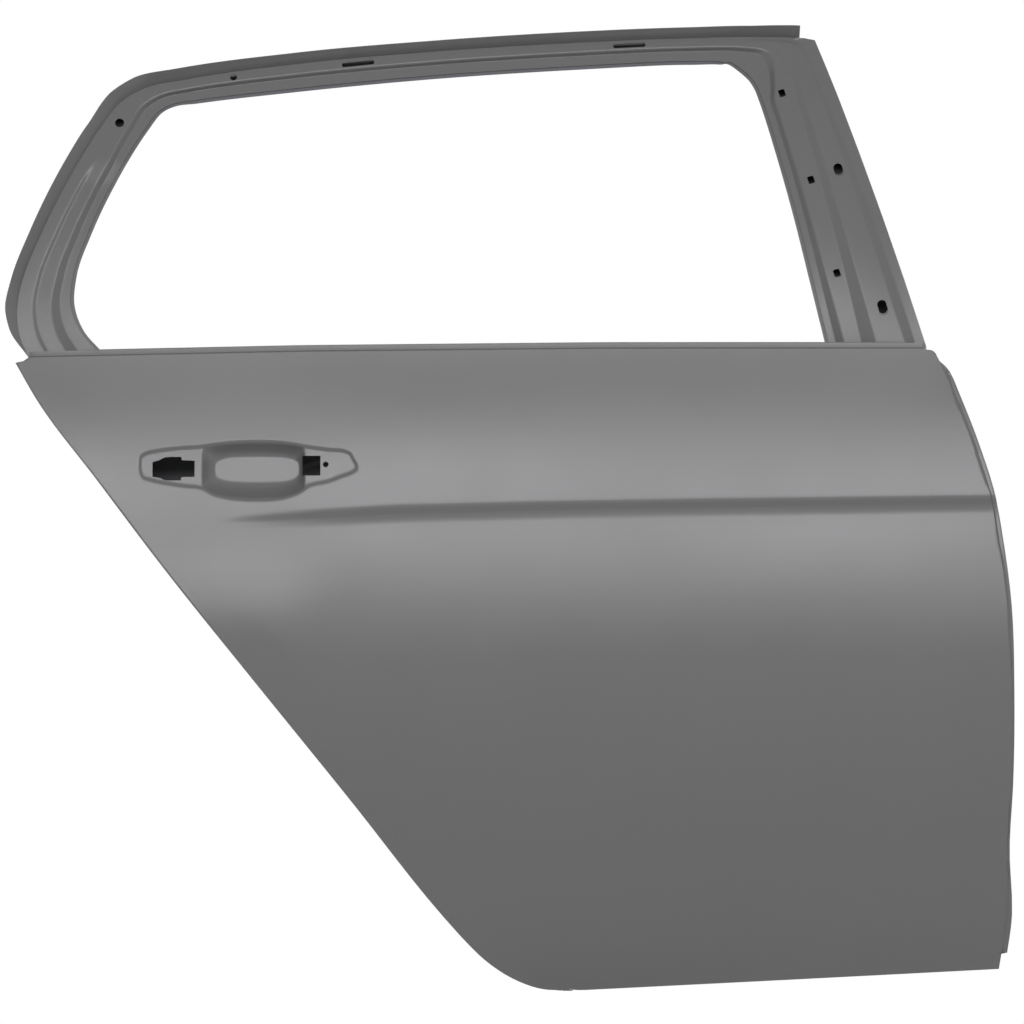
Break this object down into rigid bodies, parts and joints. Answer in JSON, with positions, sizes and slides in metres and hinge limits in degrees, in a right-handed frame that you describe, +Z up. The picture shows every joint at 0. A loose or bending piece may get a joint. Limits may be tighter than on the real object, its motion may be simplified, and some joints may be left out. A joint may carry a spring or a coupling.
{
  "type": "car door shell",
  "caption": "Bare primed rear side door of a compact car: hemmed outer skin with handle recess, boxed window frame, inner panel, impact beam and reinforcements.",
  "frame": {"origin": "middle of the upper hinge seat, on the front face of the hinge wall", "axes": "+X forwards along the car, square to the hinge wall; +Y inboard; +Z up"},
  "size_m": [1.1193, 0.21, 1.0859],
  "materials": {
    "grey_primer": "even mid-grey primer, semi-gloss",
    "grey_primer_inner": "mid-grey primer, satin",
    "coated_steel": "dark grey dip primer, satin",
    "plated_steel": "zinc plated, dull",
    "black_mastic": "matt black mastic"
  },
  "bodies": {
    "root": {"outer_skin": "grey_primer", "window_frame_outer": "grey_primer", "inner_panel": "grey_primer_inner", "window_frame_inner": "grey_primer_inner", "belt_rail_outer": "grey_primer_inner", "front_post_reinforcement": "coated_steel", "belt_rail_inner": "coated_steel", "handle_reinforcement": "coated_steel", "impact_beam": "coated_steel", "beam_bracket_front": "coated_steel", "beam_bracket_rear": "coated_steel", "hinge_reinforcement_upper": "coated_steel", "hinge_reinforcement_lower": "coated_steel", "check_strap_reinforcement": "coated_steel", "latch_reinforcement": "coated_steel", "hinge_tapping_plate_upper": "plated_steel", "hinge_tapping_plate_lower": "plated_steel", "carrier_weld_nut_1": "plated_steel", "carrier_weld_nut_2": "plated_steel", "carrier_weld_nut_3": "plated_steel", "carrier_weld_nut_4": "plated_steel", "carrier_weld_nut_5": "plated_steel", "carrier_weld_nut_6": "plated_steel", "carrier_weld_nut_7": "plated_steel", "carrier_weld_nut_8": "plated_steel", "carrier_weld_nut_9": "plated_steel", "carrier_weld_nut_10": "plated_steel", "flutter_pad_1": "black_mastic", "flutter_pad_2": "black_mastic", "flutter_pad_3": "black_mastic", "flutter_pad_4": "black_mastic"}
  },
  "joints": []
}
